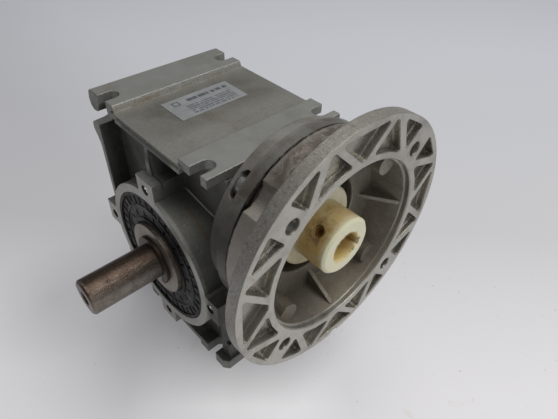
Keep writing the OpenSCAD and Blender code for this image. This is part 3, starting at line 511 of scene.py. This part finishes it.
# foil plate: header bar of blocks, ruled lines and short dashes, no wording
M = Mat("label_foil")
P = M.sep()
X, Y = P[0], P[1]
u = M.mapr(Y, 0.036, 0.0875)
w = M.mapr(X, -0.0317, -0.0065)
foil = M.mix(M.ramp(M.noise(90, 5, 0.65), [(0.35, 0.0), (0.7, 1.0)]), srgb(157, 159, 160), srgb(141, 143, 144))
dash = M.ramp(M.noise(1.0, 2, 0.5, combine(M, M.math("MULTIPLY", Y, 780.0), M.math("MULTIPLY", M.math("FLOOR", M.math("MULTIPLY", w, 11.0)), 7.3), 0.0)), [(0.40, 0.0), (0.46, 1.0)])
rowp = M.math("FRACT", M.math("MULTIPLY", w, 11.0))
rows = mul(M, inside(M, rowp, 0.18, 0.80, 0.06), inside(M, w, 0.455, 0.90, 0.01), inside(M, u, 0.22, 0.90, 0.01), dash)
head = mul(M, inside(M, w, 0.17, 0.30, 0.008), inside(M, u, 0.30, 0.93, 0.006), M.ramp(M.noise(1.0, 1, 0.4, combine(M, M.math("MULTIPLY", Y, 420.0), 2.0, 0.0)), [(0.40, 0.0), (0.47, 1.0)]))
box_o = mul(M, inside(M, w, 0.13, 0.34, 0.006), inside(M, u, 0.10, 0.20, 0.004))
box_i = mul(M, inside(M, w, 0.17, 0.30, 0.006), inside(M, u, 0.12, 0.18, 0.004))
frame_m = M.math("SUBTRACT", box_o, box_i, clamp=True)
rules = mul(M, M.math("MAXIMUM", inside(M, w, 0.385, 0.400, 0.004), M.math("MAXIMUM", inside(M, w, 0.625, 0.636, 0.004), inside(M, w, 0.905, 0.916, 0.004))), inside(M, u, 0.06, 0.95, 0.004))
col = M.mix(mul(M, rows, M.math("ADD", 0.80, 0.0)), foil, srgb(84, 86, 92))
col = M.mix(mul(M, rules, M.math("ADD", 0.55, 0.0)), col, srgb(110, 112, 118))
col = M.mix(mul(M, M.math("MAXIMUM", head, frame_m), M.math("ADD", 0.82, 0.0)), col, srgb(66, 69, 78))
smud = M.ramp(M.noise(40, 6, 0.7, None, 0.6), [(0.48, 0.0), (0.68, 1.0)])
col = M.mix(mul(M, smud, M.math("ADD", 0.30, 0.0)), col, srgb(122, 120, 114))
mats["label"] = M.final(col, M.mapr(smud, 0.0, 1.0, 0.34, 0.5), 0.35, M.bump(M.noise(700, 3, 0.6), 0.12, 0.0002))

mats["steel"] = simple("turned_steel", srgb(140, 138, 134), 0.35, 0.9)
mats["clip"] = simple("oxidised_clip", srgb(66, 54, 45), 0.42, 0.7, 700, 0.4, 0.0003)
mats["screw"] = simple("set_screw_brown", srgb(168, 132, 78), 0.34, 0.55, 700, 0.4, 0.0002)
mats["zinc"] = simple("zinc_steel", srgb(168, 170, 166), 0.34, 0.85, 500, 0.25, 0.0004)
mats["bronze"] = simple("bronze", srgb(170, 128, 66), 0.35, 0.9)
mats["gasket"] = simple("gasket_fibre", srgb(52, 49, 45), 0.8, 0.0)
mats["rubber"] = simple("plain_rubber", srgb(40, 40, 38), 0.55, 0.0, 700, 0.3, 0.0004)

USE = {
    "housing": "cast", "bearing_carrier": "cast", "end_caps": "black", "output_bearing_outer": "steel",
    "output_bearing_inner": "steel", "output_balls": "steel", "output_cages": "bronze", "hollow_shaft": "ground",
    "wheel_hub": "steel", "worm_wheel": "bronze", "wheel_key": "steel", "output_shaft": "oxide",
    "output_key": "steel", "shaft_circlips": "clip", "worm_shaft": "steel", "worm_bearing_outer": "steel",
    "worm_bearing_inner": "steel", "worm_balls": "steel", "worm_cages": "bronze", "bearing_circlips": "clip",
    "input_seal": "rubber", "rear_cap": "rubber", "coupling_driver": "steel", "driver_key": "steel",
    "coupling": "nylon", "coupling_set_screw": "screw", "adapter_gasket": "gasket", "motor_adapter": "adapter",
    "adapter_bolts": "zinc", "adapter_washers": "zinc", "label": "label"}
for node, key in USE.items():
    if node in N:
        o = N[node]
        if not o.material_slots:
            o.data.materials.append(mats[key])
        for s in o.material_slots:
            s.link = "OBJECT"
            s.material = mats[key]


# ------------------------------------------------------------------ added details
def mesh_object(name, verts, faces, mat, body, smooth=True):
    me = bpy.data.meshes.new(name)
    me.from_pydata(verts, [], faces)
    me.update()
    for p in me.polygons:
        p.use_smooth = smooth
    o = bpy.data.objects.new(name, me)
    bpy.context.scene.collection.objects.link(o)
    me.materials.append(mat)
    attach(o, body)
    return o


def thread(name, cx_, cz, y0, y1, r_out, r_in, pitch, steps=28):
    """Internal thread as a triangular ridge wound along Y."""
    turns = int(abs(y1 - y0) / pitch)
    n = turns * steps
    vs, fs = [], []
    sgn = 1 if y1 > y0 else -1
    for i in range(n + 1):
        t = 2 * math.pi * i / steps
        y = y0 + sgn * pitch * i / steps
        for dy_, r in ((-0.46 * pitch, r_out), (-0.08 * pitch, r_in), (0.08 * pitch, r_in), (0.46 * pitch, r_out)):
            vs.append((cx_ + r * math.cos(t), y + dy_, cz + r * math.sin(t)))
    for i in range(n):
        a, b = 4 * i, 4 * (i + 1)
        for k in range(3):
            fs.append((a + k, a + k + 1, b + k + 1, b + k))
        fs.append((a + 3, a, b, b + 3))
    fs.append((3, 2, 1, 0))
    e = 4 * n
    fs.append((e, e + 1, e + 2, e + 3))
    return mesh_object(name, vs, fs, mats["thread"], "root", False)


M = Mat("cut_thread")
a = M.noise(160, 4, 0.6)
# painted glints on the thread, which also glow by emission
thread_glow_glint = M.ramp(M.noise(330, 3, 0.6, M.mapping(loc=(0.8, 0.1, 0.5))), [(0.47, 0.0), (0.55, 1.0)])
M.link(M.mix(thread_glow_glint, (0.0, 0.0, 0.0), srgb(240, 238, 230)), M.b.inputs["Emission Color"])
M.b.inputs["Emission Strength"].default_value = 0.42
mats["thread"] = M.final(M.mix(thread_glow_glint, srgb(58, 56, 50), srgb(240, 238, 230)), 0.25, 0.25, M.bump(M.noise(900, 3, 0.6), 0.2, 0.0002))
R = 0.059
for i, (dx_, dz_) in enumerate(((0, 1), (1, 0), (0, -1), (-1, 0))):
    thread("thread_near_%d" % i, R * dx_, R * dz_, 0.0014, 0.0130, 0.00342, 0.00296, 0.00125)
    thread("thread_far_%d" % i, R * dx_, R * dz_, 0.1186, 0.1070, 0.00357, 0.0031, 0.00125)

# ------------------------------------------------------------------ floor and light
z0 = CAD_BOX[0][2]
bm = bmesh.new()
S = 24.0
n = 48
vs = [[bm.verts.new(((i / n - 0.5) * 2 * S, (j / n - 0.5) * 2 * S, z0 - 0.0002)) for j in range(n + 1)] for i in range(n + 1)]
for i in range(n):
    for j in range(n):
        bm.faces.new((vs[i][j], vs[i + 1][j], vs[i + 1][j + 1], vs[i][j + 1]))
me = bpy.data.meshes.new("floor")
bm.to_mesh(me)
bm.free()
floor = bpy.data.objects.new("floor", me)
bpy.context.scene.collection.objects.link(floor)
F = Mat("floor_paper")
P = F.sep()
# the paper darkens away from the light, towards the far left
g = F.math("ADD", F.math("MULTIPLY", P[0], 0.70), F.math("MULTIPLY", P[1], -0.70))
col = F.ramp(F.mapr(g, -0.60, 0.20), [(0.0, srgb(180, 181, 186)), (0.30, srgb(176, 177, 181)), (0.58, srgb(178, 178, 180)), (0.80, srgb(200, 199, 201)), (1.0, srgb(204, 204, 206))])
grain = F.noise(900, 3, 0.6)
col = F.mix(F.math("MULTIPLY", F.ramp(grain, [(0.35, 0.0), (0.7, 1.0)]), 0.05), col, srgb(150, 150, 152))
blot = F.ramp(F.noise(34, 6, 0.7, F.mapping(loc=(0.4, 3.1, 0.0)), 0.9), [(0.63, 0.0), (0.72, 1.0)])
zone = F.math("MAXIMUM", mul(F, inside(F, P[0], 0.06, 0.30, 0.05), inside(F, P[1], 0.02, 0.34, 0.05)), mul(F, inside(F, P[0], -0.02, 0.16, 0.03), inside(F, P[1], -0.12, 0.03, 0.03)))
col = F.mix(mul(F, blot, zone, F.math("ADD", 0.34, 0.0)), col, srgb(176, 160, 128))
bits = F.ramp(F.voronoi(46, "F1", F.mapping(loc=(0.7, 0.3, 0.0), scale=(1.0, 2.2, 1.0))), [(0.035, 1.0), (0.06, 0.0)])
col = F.mix(mul(F, bits, zone, F.math("ADD", 0.55, 0.0)), col, srgb(150, 136, 112))
shade_l = mul(F, F.mapr(P[0], -0.12, -0.26), F.mapr(P[1], 0.25, 0.05), F.math("ADD", 0.32, 0.0))
col = F.mix(shade_l, col, srgb(146, 145, 149))
# painted shadow of the shaft: a soft dark disc on the paper
du = F.math("SUBTRACT", P[0], -0.100)
dv = F.math("SUBTRACT", P[1], -0.056)
shaft_shadow_dist = F.math("SQRT", F.math("ADD", F.math("MULTIPLY", du, du), F.math("MULTIPLY", dv, dv)))
col = F.mix(F.math("MULTIPLY", F.mapr(shaft_shadow_dist, 0.065, 0.0), 0.30), col, srgb(132, 130, 134))
F.final(col, 0.9, 0.0)
# the paper glows faintly by emission all over, lifting the shadows, and a painted pool of bounced light glows brighter
# in front of the flange
sa = F.math("ADD", F.math("MULTIPLY", P[0], 0.67), F.math("MULTIPLY", P[1], 0.74))
sb = F.math("ADD", F.math("MULTIPLY", P[0], 0.74), F.math("MULTIPLY", P[1], -0.67))
bounce = mul(F, inside(F, sa, 0.008, 0.105, 0.034), inside(F, sb, 0.034, 0.085, 0.026))
glow = F.mix(bounce, F.mix(1.0, col, (0.567, 0.567, 0.567), "MULTIPLY"), (0.72, 0.72, 0.725))
F.link(glow, F.b.inputs["Emission Color"])
F.b.inputs["Emission Strength"].default_value = 0.6
me.materials.append(F.m)

world = bpy.data.worlds.new("studio")
bpy.context.scene.world = world
world.use_nodes = True
wt = world.node_tree
bg = wt.nodes["Background"]
wc = wt.nodes.new("ShaderNodeTexCoord")
wd = wt.nodes.new("ShaderNodeVectorMath")
wd.operation = "DOT_PRODUCT"
wd.inputs[1].default_value = (0.41, 0.49, 0.77)
wt.links.new(wc.outputs["Generated"], wd.inputs[0])
wr = wt.nodes.new("ShaderNodeMapRange")
wr.inputs[1].default_value = -0.35
wr.inputs[2].default_value = 0.95
wr.inputs[3].default_value = 0.085
wr.inputs[4].default_value = 0.36
wt.links.new(wd.outputs["Value"], wr.inputs[0])
wt.links.new(wr.outputs[0], bg.inputs[1])
bg.inputs[0].default_value = (0.93, 0.95, 1.0, 1)


def area(name, loc, target, size, power, color=(1, 1, 1), sy=None):
    d = bpy.data.lights.new(name, "AREA")
    d.shape = "RECTANGLE" if sy else "SQUARE"
    d.size = size
    if sy:
        d.size_y = sy
    d.energy = power
    d.color = color
    o = bpy.data.objects.new(name, d)
    bpy.context.scene.collection.objects.link(o)
    o.location = loc
    o.rotation_euler = (Vector(target) - Vector(loc)).to_track_quat("-Z", "Y").to_euler()
    return o


area("key", (0.30, 0.42, 1.35), (0.02, 0.06, 0), 1.3, 18, (1.0, 0.985, 0.965))
area("side", (1.3, 0.10, 0.65), (0.05, 0.06, 0.05), 0.6, 1.6, (1.0, 0.99, 0.97))

bpy.context.scene.view_settings.view_transform = "Standard"
